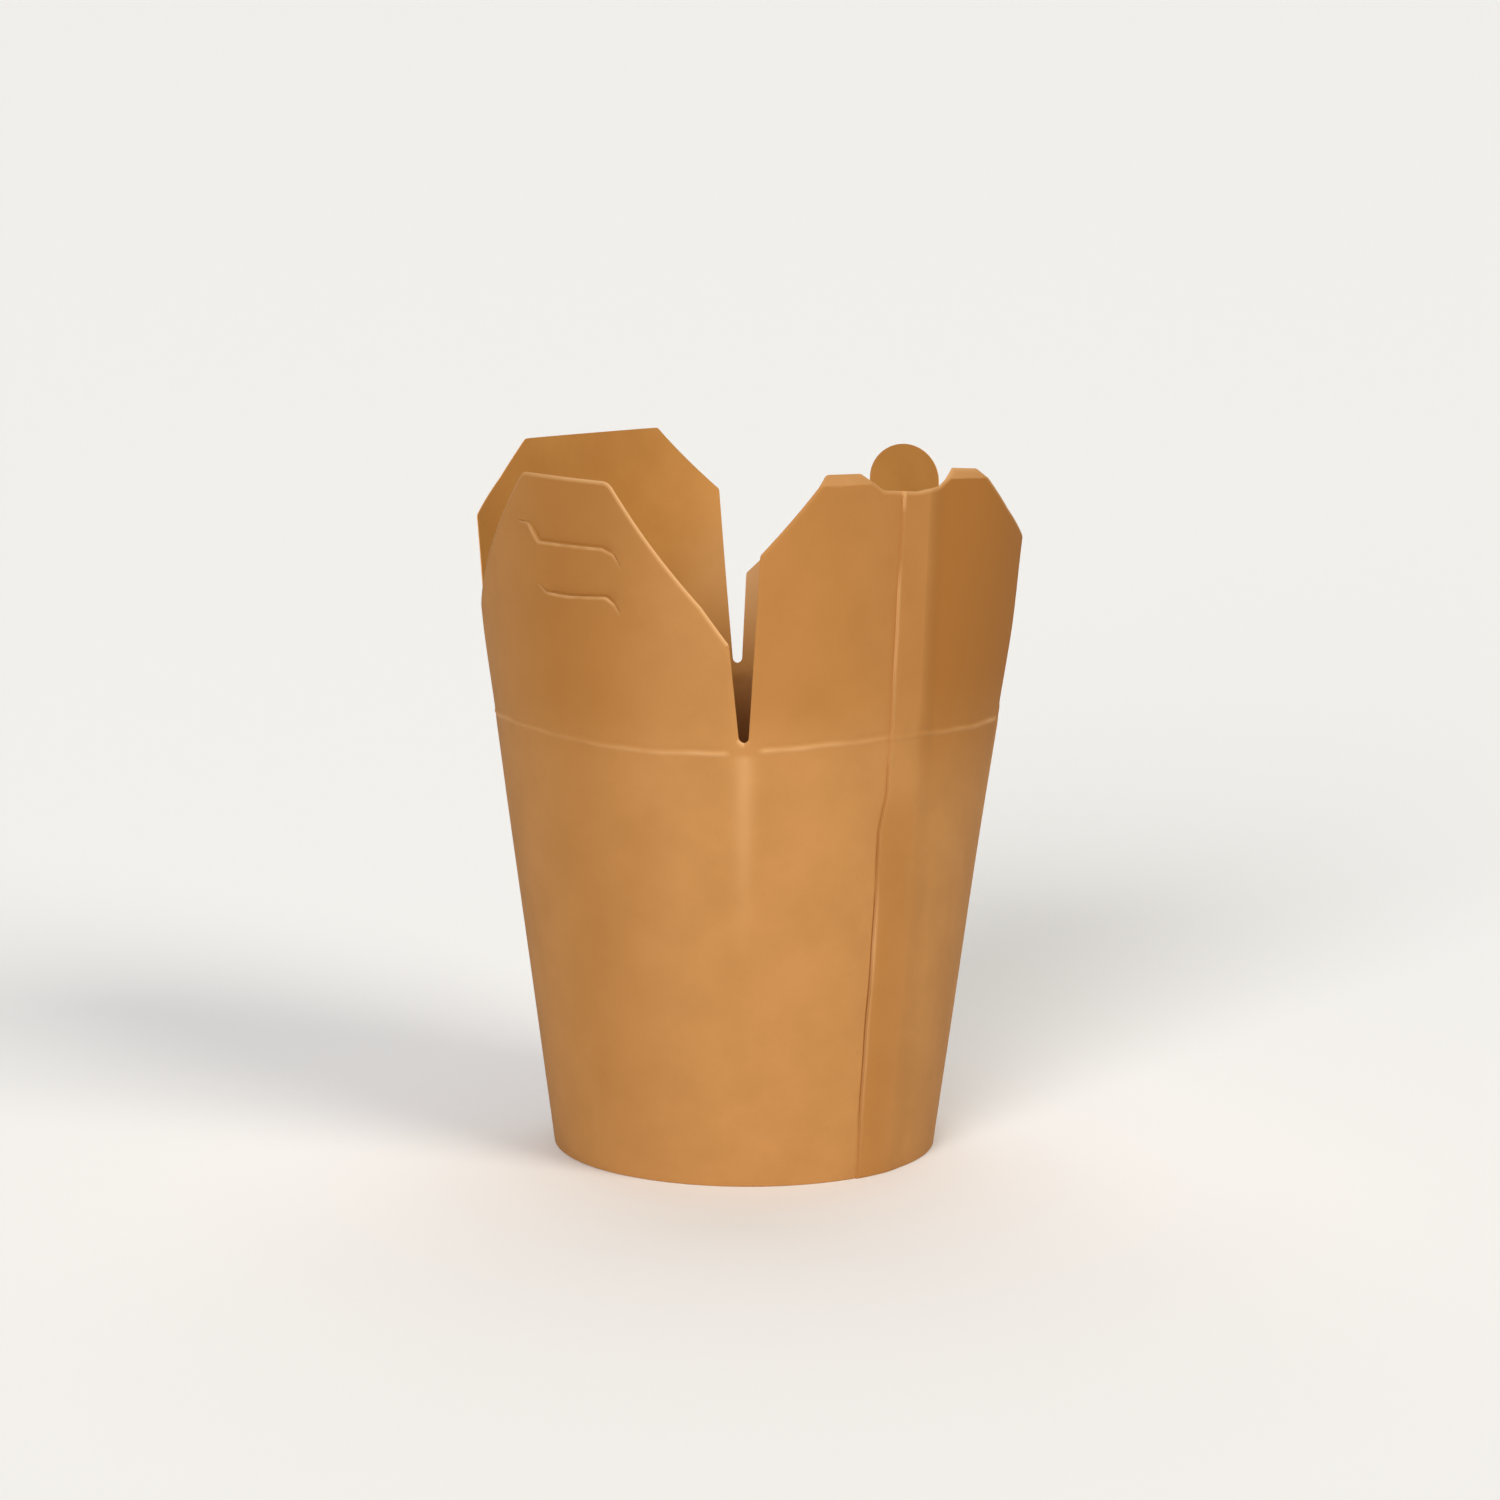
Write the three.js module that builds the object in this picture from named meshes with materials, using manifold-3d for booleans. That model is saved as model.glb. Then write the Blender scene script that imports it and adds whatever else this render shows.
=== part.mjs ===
// Noodle takeaway box of kraft board: a conical wall with a recessed round base and four flaps
// that stand open. The front flap has two bracket slits for the back flap's round tongue, and
// the right flap carries the wall's glued side seam. +Z is up, -Y is the front, and the origin
// is the middle of the rim that the box stands on.
import * as THREE from "three";
import { mergeVertices } from "three/addons/utils/BufferGeometryUtils.js";
import Module from "manifold-3d";

// Driving dimensions, in millimetres, and angles in degrees.
const board = 0.45; // thickness of the paperboard
const gap = 0.3; // clearance between two pieces that meet
const baseRadius = 43.1; // outside of the wall at the rim
const creaseRadius = 56.5; // outside of the wall at the crease
const creaseHeight = 99;
const flapReach = 58.6; // slope length at which a panel has all its flattening
const baseRecess = 7.6; // top of the base disc above the rim
const hemHeight = 6.4; // the wall's hem, turned up behind the base's skirt
const seamOffset = -7.7; // side seam from the middle of the right panel
const lapWidth = 11; // how far the glued layers overlap
const lapFade = 9; // stretch in which the outer layer comes back to the round wall
const stepWidth = 0.15; // a cut edge of the seam, seen from above
const centreBand = 30; // columns this near a flap's middle run straight up
const columnStep = 4; // widest facet along a cut edge
const rowCount = 5; // facets up a flap
const wallColumns = 22; // facets across one panel of the wall
const columnsBesideSeam = 8; // facets on each side of the seam's own columns
const nearestColumn = 0.6; // columns of a cut edge stay at least this far apart
const wallLevels = [0, 0.12, 0.36, 0.62, 0.82, 1]; // shares of the wall's height

// The panels. corners: azimuths of the panel's two corner scores, from -Y towards +X. flat: how
// far the middle is pressed in at the crease and at the flap's top. outline: the cut edge from
// the left side to the right, as distance from the middle and slope length above the crease.
const panels = {
  front: {
    corners: [-45, 45],
    flat: [1, 8],
    outline: [[-43.8, 24.4], [-15.4, 57.1], [15.4, 57.1], [43.5, 23.8]],
  },
  right: {
    corners: [45, 135],
    flat: [5, 10],
    outline: [
      [-45.6, 43.1],
      [-31.8, 59.3],
      [-21.6, 59.5],
      [-13.3, 55.5],
      [-2.5, 54.8],
      [5.6, 55.5],
      [11.6, 58],
      [22, 58],
      [47, 40.3],
    ],
  },
  back: {
    corners: [135, 227.8],
    flat: [2, 12],
    outline: [[-44.4, 24], [-24.5, 46.5], [24.8, 46.5], [46.1, 22.4]],
  },
  left: {
    corners: [-132.2, -45],
    flat: [3, 12],
    outline: [[-42.8, 43], [-27.5, 57.9], [23.6, 59.2], [44, 42.5]],
  },
};
const sideGap = 0.5; // from a flap's side edge to the corner score, at the crease

// The back flap's tongue is the top of a circle that stands on the flap's shoulder.
const tongue = { centre: 0.7, level: 43.7, radius: 13.3, facets: 14 };

// The front flap's two slits. Each is a line whose left end turns up or down and whose right
// end turns down, in millimetres from the flap's middle and above the crease.
const slitWidth = 0.5;
const slits = [
  [[-17.2, 46.5], [-12.4, 46.5], [-8.4, 42.7], [13, 42.9], [16.6, 41.9], [18.8, 38.6]],
  [[-9, 33.8], [-5, 32.2], [14, 32.4], [16.4, 31], [18.2, 28.5]],
];

const wasm = await Module();
wasm.setup();

const radians = THREE.MathUtils.degToRad;
const taper = (creaseRadius - baseRadius) / creaseHeight;
const slope = Math.hypot(1, taper);
const coneRadius = (z) => baseRadius + taper * z;

// How far the wall is pressed in at the middle of a panel: the round base keeps its shape, and
// the flattening grows towards the crease and on up the flap.
function pressedIn(panel, z) {
  const [atCrease, atTop] = panel.flat;
  if (z <= creaseHeight) return atCrease * (z / creaseHeight) ** 2;
  return atCrease + ((atTop - atCrease) * (z - creaseHeight) * slope) / flapReach;
}

// Lift of the outer and inner faces along the seam: the outer layer starts at the seam with a
// step of one board and fades back to the wall behind the end of the inner layer.
function seamLift(x, face) {
  const layerEnd = { outer: 0, inner: lapWidth }[face];
  if (layerEnd === undefined) return 0;
  const fromSeam = x - seamOffset;
  const rise = (fromSeam - layerEnd) / stepWidth;
  const fade = 1 - (fromSeam - lapWidth) / lapFade;
  return board * THREE.MathUtils.clamp(Math.min(rise, fade), 0, 1);
}

// A point of a panel's board. x runs along the round wall from the panel's middle, z is the
// height, depth is the distance in from the outside and face is outer, inner or hem.
function boardPoint(panel, x, z, depth, face) {
  const [from, to] = panel.corners.map(radians);
  const azimuth = (from + to) / 2 + x / coneRadius(z);
  const across = THREE.MathUtils.clamp((azimuth - from) / (to - from), 0, 1);
  let radius = coneRadius(z) - pressedIn(panel, z) * Math.sin(Math.PI * across) - depth;
  if (panel === panels.right) radius += seamLift(x, face);
  return new THREE.Vector3(radius * Math.sin(azimuth), -radius * Math.cos(azimuth), z);
}

function geometryOf(points, triangles) {
  const geometry = new THREE.BufferGeometry().setFromPoints(points);
  geometry.setIndex(triangles);
  geometry.computeVertexNormals();
  return geometry;
}

// A closed grid from rings of equal length: each ring joins the next, and the last the first.
function closedGrid(rings) {
  const count = rings[0].length;
  const triangles = [];
  for (let i = 0; i < rings.length; i++) {
    const next = (i + 1) % rings.length;
    for (let j = 0; j < count; j++) {
      const up = (j + 1) % count;
      const [a, b] = [i * count + j, next * count + j];
      const [c, d] = [next * count + up, i * count + up];
      triangles.push(a, c, b, a, d, c);
    }
  }
  return geometryOf(rings.flat(), triangles);
}

// The slab of a flap: columns[i][j] holds the outer and inner point of column i at row j.
function slab(columns) {
  const rows = columns[0].length;
  const last = columns.length - 1;
  const points = columns.flat(2);
  const id = (i, j, face) => (i * rows + j) * 2 + face;
  const triangles = [];
  const quad = (a, b, c, d) => triangles.push(a, b, c, a, c, d);
  for (let i = 0; i < last; i++) {
    for (let j = 0; j + 1 < rows; j++) {
      quad(id(i, j, 0), id(i + 1, j, 0), id(i + 1, j + 1, 0), id(i, j + 1, 0));
      quad(id(i, j, 1), id(i, j + 1, 1), id(i + 1, j + 1, 1), id(i + 1, j, 1));
    }
    quad(id(i, 0, 1), id(i + 1, 0, 1), id(i + 1, 0, 0), id(i, 0, 0));
    quad(id(i, rows - 1, 0), id(i + 1, rows - 1, 0), id(i + 1, rows - 1, 1), id(i, rows - 1, 1));
  }
  for (let j = 0; j + 1 < rows; j++) {
    quad(id(0, j, 0), id(0, j + 1, 0), id(0, j + 1, 1), id(0, j, 1));
    quad(id(last, j, 1), id(last, j + 1, 1), id(last, j + 1, 0), id(last, j, 0));
  }
  return geometryOf(points, triangles);
}

// Where the seam needs its own columns, from the middle of the right panel.
const seamColumns = [
  seamOffset,
  seamOffset + stepWidth,
  seamOffset + lapWidth / 2,
  seamOffset + lapWidth,
  seamOffset + lapWidth + stepWidth,
  seamOffset + lapWidth + lapFade,
];

// The wall's columns over one panel: each gives its distance from the panel's middle at a height.
function columnsOver(name) {
  const [from, to] = panels[name].corners.map(radians);
  const half = (z) => ((to - from) / 2) * coneRadius(z);
  const between = (start, end, count) =>
    Array.from({ length: count }, (_, i) => (z) => start(z) + ((end(z) - start(z)) * i) / count);
  if (name !== "right") return between((z) => -half(z), half, wallColumns);
  const [seam, fadeEnd] = [seamColumns[0], seamColumns.at(-1)];
  return [
    ...between((z) => -half(z), () => seam, columnsBesideSeam),
    ...seamColumns.slice(0, -1).map((x) => () => x),
    ...between(() => fadeEnd, half, columnsBesideSeam),
  ];
}

// The wall: one closed profile, from the crease down the outside, under the rim, up and over
// the hem, and back up the inside, carried round all four panels. The rim is as wide as the
// wall, the base's skirt and the hem, with a gap between each two.
function wallGeometry() {
  const top = creaseHeight - gap / 2;
  const ringWidth = 3 * board + 2 * gap;
  const outside = wallLevels.map((share) => [0, top * share, "outer"]).reverse();
  const hem = [
    [ringWidth, 0, "hem"],
    [ringWidth, hemHeight, "hem"],
    [ringWidth - board, hemHeight, "hem"],
    [ringWidth - board, board, "hem"],
  ];
  const inside = wallLevels.map((share) => [board, board + (top - board) * share, "inner"]);
  const profile = [...outside, ...hem, ...inside];
  const rings = [];
  for (const name of ["front", "right", "back", "left"]) {
    for (const distance of columnsOver(name)) {
      const at = ([depth, z, face]) => boardPoint(panels[name], distance(z), z, depth, face);
      rings.push(profile.map(at));
    }
  }
  return closedGrid(rings);
}

// The base: a disc with a skirt that hangs between the wall and its hem.
function baseGeometry() {
  const wallInside = (z) => coneRadius(z) - board - gap;
  const foot = board + gap;
  const under = baseRecess - board;
  const profile = [
    [0, under],
    [wallInside(under) - board, under],
    [wallInside(foot) - board, foot],
    [wallInside(foot), foot],
    [wallInside(baseRecess), baseRecess],
    [0, baseRecess],
  ].map(([x, y]) => new THREE.Vector2(x, y));
  return new THREE.LatheGeometry(profile, 4 * wallColumns).rotateX(Math.PI / 2);
}

// The cut edge of a flap as points from its left side to its right.
function cutEdge(name) {
  const { outline } = panels[name];
  const points = [];
  for (let i = 0; i + 1 < outline.length; i++) {
    const [[x0, s0], [x1, s1]] = [outline[i], outline[i + 1]];
    const steps = Math.ceil((x1 - x0) / columnStep);
    for (let j = 0; j < steps; j++) {
      points.push([x0 + ((x1 - x0) * j) / steps, s0 + ((s1 - s0) * j) / steps]);
    }
  }
  points.push(outline[outline.length - 1]);
  if (name === "back") return withTongue(points);
  if (name === "right") return withColumns(points, seamColumns);
  return points;
}

// The same edge with the tongue's arc in place of the shoulder beneath it.
function withTongue(points) {
  const { centre, level, radius, facets } = tongue;
  const shoulder = panels.back.outline[1][1];
  const root = Math.acos((shoulder - level) / radius);
  const arc = [];
  for (let i = 0; i <= facets; i++) {
    const turn = -root + (2 * root * i) / facets;
    arc.push([centre + radius * Math.sin(turn), level + radius * Math.cos(turn)]);
  }
  const halfWidth = radius * Math.sin(root) + nearestColumn;
  const clear = ([x]) => Math.abs(x - centre) > halfWidth;
  return [...points.filter(clear), ...arc].sort((a, b) => a[0] - b[0]);
}

// The same edge with a point added at each given distance from the middle.
function withColumns(points, columns) {
  const clear = ([x]) => columns.every((other) => Math.abs(x - other) > nearestColumn);
  const heightAt = (x) => {
    const i = points.findIndex((point) => point[0] > x);
    const [[x0, s0], [x1, s1]] = [points[i - 1], points[i]];
    return s0 + ((s1 - s0) * (x - x0)) / (x1 - x0);
  };
  const added = columns.map((x) => [x, heightAt(x)]);
  return [...points.filter(clear), ...added].sort((a, b) => a[0] - b[0]);
}

function flapGeometry(name) {
  const panel = panels[name];
  const [from, to] = panel.corners.map(radians);
  const halfAtCrease = (creaseRadius * (to - from)) / 2 - sideGap;
  const foot = gap / 2;
  const columns = cutEdge(name).map(([xTop, sTop]) => {
    const edge = Math.abs(xTop < 0 ? panel.outline[0][0] : panel.outline.at(-1)[0]);
    const outward = Math.max(0, (Math.abs(xTop) - centreBand) / (edge - centreBand));
    const xFoot = xTop + Math.sign(xTop) * outward * (halfAtCrease - edge);
    const column = [];
    for (let j = 0; j <= rowCount; j++) {
      const share = j / rowCount;
      const x = xFoot + (xTop - xFoot) * share;
      const z = creaseHeight + (foot + (sTop - foot) * share) / slope;
      column.push([boardPoint(panel, x, z, 0, "outer"), boardPoint(panel, x, z, board, "inner")]);
    }
    return column;
  });
  return slab(columns);
}

// A cutter for one slit: a ribbon along the slit's line that runs through the board.
function slitCutter(line) {
  const through = 1.5;
  const stations = [];
  for (let i = 0; i < line.length; i++) {
    const before = new THREE.Vector2(...line[Math.max(i - 1, 0)]);
    const after = new THREE.Vector2(...line[Math.min(i + 1, line.length - 1)]);
    const along = after.sub(before).normalize();
    const side = new THREE.Vector2(-along.y, along.x).multiplyScalar(slitWidth / 2);
    stations.push([new THREE.Vector2(...line[i]), side]);
  }
  const at = (x, s, depth) => boardPoint(panels.front, x, creaseHeight + s / slope, depth, "outer");
  const columns = stations.map(([middle, side]) =>
    [-1, 1].map((way) => {
      const [x, s] = [middle.x + way * side.x, middle.y + way * side.y];
      return [at(x, s, -through), at(x, s, board + through)];
    }),
  );
  return slab(columns);
}

function toSolid(geometry) {
  const bare = geometry.clone();
  bare.deleteAttribute("normal");
  bare.deleteAttribute("uv");
  const merged = mergeVertices(bare, 1e-4);
  return new wasm.Manifold(
    new wasm.Mesh({
      numProp: 3,
      vertProperties: merged.attributes.position.array,
      triVerts: new Uint32Array(merged.index.array),
    }),
  );
}

function toGeometry(solid) {
  const { vertProperties, triVerts } = solid.getMesh();
  const geometry = new THREE.BufferGeometry();
  geometry.setAttribute("position", new THREE.BufferAttribute(vertProperties, 3));
  geometry.setIndex(new THREE.BufferAttribute(triVerts, 1));
  geometry.computeVertexNormals();
  return geometry;
}

const box = new THREE.Group();

function addPiece(name, geometry, colour) {
  const material = new THREE.MeshStandardMaterial({ color: colour, roughness: 0.85, metalness: 0 });
  const mesh = new THREE.Mesh(geometry, material);
  mesh.name = name;
  box.add(mesh);
}

addPiece("wall", wallGeometry(), 0xc98f55);
addPiece("base", baseGeometry(), 0xb8824c);
for (const name of ["right", "back", "left"]) {
  addPiece(`flap_${name}`, flapGeometry(name), 0xc4894f);
}

let frontFlap = toSolid(flapGeometry("front"));
for (const line of slits) {
  frontFlap = frontFlap.subtract(toSolid(slitCutter(line)));
}
addPiece("flap_front", toGeometry(frontFlap), 0xc4894f);

export default box;
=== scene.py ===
import math

import bpy
import numpy as np
from mathutils import Matrix, Vector
from mathutils.geometry import delaunay_2d_cdt


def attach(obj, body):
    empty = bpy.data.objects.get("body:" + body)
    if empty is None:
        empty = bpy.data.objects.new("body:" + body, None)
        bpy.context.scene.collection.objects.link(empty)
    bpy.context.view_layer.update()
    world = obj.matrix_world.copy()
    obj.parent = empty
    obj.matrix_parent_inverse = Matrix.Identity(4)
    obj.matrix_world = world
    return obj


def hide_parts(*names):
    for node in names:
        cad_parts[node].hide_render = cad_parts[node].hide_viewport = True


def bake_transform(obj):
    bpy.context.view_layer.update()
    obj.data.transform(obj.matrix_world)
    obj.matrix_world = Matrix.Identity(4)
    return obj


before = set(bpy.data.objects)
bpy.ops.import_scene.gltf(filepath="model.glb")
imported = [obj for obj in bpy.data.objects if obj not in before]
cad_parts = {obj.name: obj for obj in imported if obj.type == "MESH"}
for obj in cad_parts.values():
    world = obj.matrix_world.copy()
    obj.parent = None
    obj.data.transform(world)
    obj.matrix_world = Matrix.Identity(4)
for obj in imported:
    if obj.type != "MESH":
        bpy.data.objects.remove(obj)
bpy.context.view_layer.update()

mm = 0.001
print("frame loaded, nodes:", len(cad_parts))

# The cone that the blank is rolled into, and how its parts meet.
cone = {
    "board": 0.45,  # thickness of the paperboard
    "baseRadius": 43.1,  # outside, at the rim
    "creaseRadius": 56.5,  # outside, at the crease
    "creaseHeight": 99.0,
    "flapReach": 58.6,  # slope length at which a panel has all its flattening
    "joinLevel": -5.0,  # the wall piece stops and the flap pieces start here, along the slope
    "columnStep": 1.0,  # spacing of the wall's columns
    "cornerColumns": (0, 0.4, 0.8, 1.2, 1.7, 2.3, 3.1),  # closer ones, from a corner score
    "cornerSpan": 4.0,  # and the even ones start here
    "cornerSoftness": 1.5,  # how far a corner score spreads the fold
}
taper = (cone["creaseRadius"] - cone["baseRadius"]) / cone["creaseHeight"]
slope = math.hypot(1, taper)

# corners: azimuths of the two corner scores, from -Y towards +X. flat: how far the middle is
# pressed in at the crease and at the top. outline: the cut edge from left to right, each point
# as distance from the middle, slope length above the crease and radius of the rounded corner.
# slits: radius of the round bottom of the slits to its left and right. wander: how far the crease
# strays from level, where that is greatest, and over what length. The last pair is the painted
# highlight on the cut edges that face up, on the left and on the right.
panels = {
    "front": {
        "corners": (-45, 45), "flat": (1, 8), "wander": (-0.8, 26, 88),
        "slits": (1.1, 1.25), "bareEdge": (0, 1),
        "outline": [
            (-43.8, 24.4, 1), (-38.2, 31.7, 0), (-15.4, 57.3, 4), (15.6, 57.3, 4),
            (24.6, 46.9, 0), (38.1, 31.6, 0), (43.5, 23.6, 1),
        ],
    },
    "right": {
        "corners": (45, 135), "flat": (5, 10), "wander": (0.75, -12, 120),
        "slits": (0.95, 1.1), "bareEdge": (0.1, 0.7),
        "outline": [
            (-45.7, 43.2, 1), (-31.2, 59.8, 1.8), (-21, 59.5, 1.5), (-14.2, 55.6, 3),
            (-2.9, 54.7, 9), (5.2, 55.4, 3), (12.3, 58.8, 1.5), (21.9, 58, 1.8), (35, 48, 0),
            (46.6, 40.5, 1),
        ],
    },
    "back": {
        "corners": (135, 227.8), "flat": (2, 12), "wander": (0.5, 10, 100),
        "slits": (1.1, 1.1), "bareEdge": (0.15, 0.15),
        "outline": [(-44.6, 23.6, 1), (-24.5, 46.5, 3), (24.8, 46.5, 3), (46.2, 23.2, 1)],
    },
    "left": {
        "corners": (-132.2, -45), "flat": (3, 12), "wander": (0.5, -15, 110),
        "slits": (1.1, 1.1), "bareEdge": (0.15, 0.15),
        "outline": [
            (-42.85, 43.2, 1), (-26.6, 58.55, 1.5), (23.4, 59, 2), (33, 50.9, 0),
            (43.7, 43.4, 1),
        ],
    },
}
# The back flap's tongue: its top is half an oval on two straight sides, and leans a little.
tongue = {
    "centre": 0.45,
    "width": 25.6,
    "level": 48.6,  # of the oval's middle above the crease
    "rise": 8.05,
    "lean": -0.033,
    "fillet": 1.2,  # where its sides leave the flap's shoulders
}

# The glued side seam, from the middle of the right panel. Small waves, here and below, are given
# as height, length and shift.
seam = {
    "offset": -7.7,
    "lapWidth": 8.8,  # how far the two layers overlap
    "lapFade": 7.0,  # stretch in which the outer layer comes back to the round wall
    "stepWidth": 0.08,  # a cut edge, seen from above
    "gapWidth": 0.55,  # the outer layer's edge stands a little off the glue
    "gapDepth": 0.4,
    "gapCurve": 0.7,  # below 1 the gap's floor is broad
    "stiffRidge": 0.4,  # the doubled board bends less, so its far edge stands out on the flap
    "ridgeReach": (6, 14),  # how far the ridge reaches to its left and right
    "ridgeRise": (-6, 30),  # where it starts along the slope, and over what length it rises
    "strayReach": (1, 6),  # the board strays with the edge this far, and less over this length
    "ripple": [(0.09, 8.3, 0.7), (0.06, 3.1, 0)],
    "columns": (-1, -0.6, -0.38, -0.25, -0.1, 0, 0.08, 0.25, 0.5, 0.9),  # from each cut edge
    "columnsClear": 1.3,  # the even columns keep this far from it
    "straightFrom": 1.5,  # columns run straight down from this far to its left
    # By slope length above the crease: how far the edge strays to the right, how open it is, and
    # how pale its cut edge is drawn, partly its own pale cut and partly painted highlight.
    "strays": [
        (-98, 0.5), (-88, 0), (-74, -0.5), (-60, -0.85), (-48, -1), (-38, -1.2), (-30, -1.5),
        (-20, -1.6), (-16, -1), (-12, -0.1), (0, 0), (60, 0),
    ],
    "open": [
        (-98, 0.05), (-90, 0.25), (-80, 0.8), (-60, 1), (-42, 1), (-36, 0.8), (-32, 0.3),
        (-26, 0.6), (-14, 0.4), (-4, 0.15), (10, 0.15), (20, 0.35), (36, 0.1), (60, 0.1),
    ],
    "bare": [
        (-98, 0), (-74, 0.4), (-56, 0.3), (-46, 0.7), (-38, 0.5), (-30, 0.1), (-8, 0.1),
        (4, 0.2), (18, 0.5), (34, 0.6), (40, 0.1), (50.5, 0.15), (52, 0.7), (56, 0.7),
    ],
}
lapEnd = seam["offset"] + seam["lapWidth"]

# The tips beside the right flap's notch are bent in above a line, given as distance from the
# middle and slope length above the crease.
tips = {
    "line": [(-34, 57.4), (-19, 57.1), (10, 56.5), (24, 55.7)],
    "bend": 30,
    "softness": 0.3,  # the bend's looks pass from one side to the other within this
    "span": (-36, 27),  # points follow the line this far
    "rows": (-0.3, 0, 0.3),  # below, on and above it
    "bare": 0.2,  # painted highlight on the bent tips, which face up into the light
}

# The scores pressed into the board before it is folded, and how it lies after that.
scores = {
    "creaseHeight": 0.2,  # the bead that the crease raises on the outside
    "creaseWidth": 0.38,  # standard width of the bead across
    "creaseGroove": 0.12,  # dip above the bead
    "grooveLevel": 2.2,  # in widths of the bead
    "creaseStop": 3.6,  # the bead ends this far from a corner
    "creaseRipple": [(0.1, 2.3, 0), (0.06, 5.1, 1)],
    "cornerHeight": 0.16,  # ridge down each corner
    "cornerWidth": 1.5,
    "cornerStart": 3,  # the ridge is full this far below the crease
    "cornerEnd": 52.0,  # and has run out this far below it
    "slitBottom": 2.0,  # lowest point of the slit above the crease
    # The flaps' free sides stand out: by how much, where, over what length, how near the side.
    "flare": (0.5, 20, 14, 10),
    # Rolled board is a little uneven: height, waves round the cup, slope length and shift.
    "waves": [(0.07, 5, 19, 1.3), (0.05, 9, -13, 0)],
    "waveRise": (-93, 85),  # from the rim, which stays round, up to the crease
}


def coneRadius(z):
    return cone["baseRadius"] + taper * z


def heightAt(s):
    return cone["creaseHeight"] + s / slope


def smooth(share):
    share = np.clip(share, 0, 1)
    return share * share * (3 - 2 * share)


# From 0 at the start up to 1 over the length.
def rising(at, start, length):
    return smooth((at - start) / length)


# 1 in the middle, and fading to both sides of it.
def bell(at, middle, width):
    return np.exp(-(((at - middle) / width) ** 2))


def ripple(at, waves):
    return sum(height * np.sin(at / length + shift) for height, length, shift in waves)


# Half the width of a panel along the round wall.
def halfWidth(name, s):
    start, end = panels[name]["corners"]
    return math.radians(end - start) / 2 * coneRadius(heightAt(s))


# How far the wall is pressed in: the round base keeps its shape, and the flattening grows
# towards the crease and on up the flaps. A corner score spreads the fold a little.
def pressedAt(azimuth, z):
    pressed = np.zeros(np.broadcast(azimuth, z).shape)
    below = np.clip(z / cone["creaseHeight"], 0, 1) ** 2
    above = np.clip((z - cone["creaseHeight"]) * slope / cone["flapReach"], 0, None)
    spread = np.degrees(cone["cornerSoftness"] / coneRadius(z))
    for offset, weight in ((-1, 1), (-0.5, 4), (0, 6), (0.5, 4), (1, 1)):
        turned = azimuth + offset * spread
        for panel in panels.values():
            start, end = panel["corners"]
            across = ((turned - start) % 360) / (end - start)
            atCrease, atTop = panel["flat"]
            middle = atCrease * below + (atTop - atCrease) * above
            pressed += np.where(across < 1, middle * np.sin(np.pi * across), 0) * weight / 16
    return pressed


def alongSeam(key, s):
    return np.interp(s, *zip(*seam[key]))


# 1 at the foot of the seam's cut edge, down to 0 where its gap ends.
def inGap(fromSeam):
    return np.clip(1 + fromSeam / seam["gapWidth"], 0, 1) * (fromSeam <= 0)


# The seam's lift of the outer or inner face: a step of one board, which fades behind the end
# of the inner layer. Outside, a gap runs along the foot of the step.
def seamLift(x, s, face):
    layerEnd = {"outer": 0, "inner": seam["lapWidth"]}.get(face)
    if layerEnd is None:
        return 0
    fromSeam = x - seam["offset"]
    fromRidge = fromSeam - seam["lapWidth"]
    rise = (fromSeam - layerEnd) / seam["stepWidth"]
    fade = 1 - smooth(fromRidge / seam["lapFade"])
    lift = cone["board"] * np.clip(np.minimum(rise, fade), 0, 1)
    if face == "outer":
        gap = inGap(fromSeam) ** seam["gapCurve"]
        lift = lift - seam["gapDepth"] * gap * alongSeam("open", s)
    toLeft, toRight = seam["ridgeReach"]
    ridge = np.exp(-np.where(fromRidge < 0, -fromRidge / toLeft, fromRidge / toRight))
    return lift + seam["stiffRidge"] * ridge * rising(s, *seam["ridgeRise"])


# The cut edge strays a little to either side, and the board beside it follows.
def strayed(x, s):
    stray = alongSeam("strays", s) + ripple(s, seam["ripple"])
    reach, fade = seam["strayReach"]
    return x + stray * np.clip(1 - (np.abs(x - seam["offset"]) - reach) / fade, 0, 1)


# Distance above the crease's line, which wanders a little.
def aboveCrease(name, x, s):
    amount, peak, length = panels[name]["wander"]
    line = amount * np.cos(2 * np.pi * (x - peak) / length)
    return s - line - ripple(x, scores["creaseRipple"])


# 1 where the crease's bead is, and 0 near the corners, which it stops short of.
def inPanel(fromCorner):
    return rising(fromCorner, scores["creaseStop"] - 1, 2)


# How strong a corner score is: full soon below the crease, then it fades out.
def downCorner(s, fullAt):
    return smooth(1 + s / scores["cornerEnd"]) * smooth(-s / fullAt)


# The line above which the right flap's tips are bent in.
def bendLine(x):
    return np.interp(x, *zip(*tips["line"]))


# 1 on the bent tips and 0 below them.
def onTip(x, s):
    return rising(s, bendLine(x), tips["softness"])


# How much the outer face is lightened, from 0 to 1, which is as pale as a fresh cut: the crease's
# bead and the corner ridges partly rubbed and partly painted highlight, the seam's cut edge
# partly its pale cut and partly painted highlight, and the bent tips painted highlight.
wearAndHighlightLook = {
    "crease": 0.7,  # the top of the bead
    "midCrease": 0.25,  # share of that in the middle of a panel
    "creaseReach": 24,  # the bead is lightened most within this distance of a corner
    "corner": 0.4,
    "cornerWidth": 2.1,
    "cornerStart": 2,
    "seamWidth": 0.5,  # of the pale line along the seam's cut edge
    "lapSpared": 0.85,  # the doubled board is stiff, so scores on it are lightened less
    "lapFade": 3,
}


# Pale wear and painted highlight on the outer face at each point.
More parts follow.
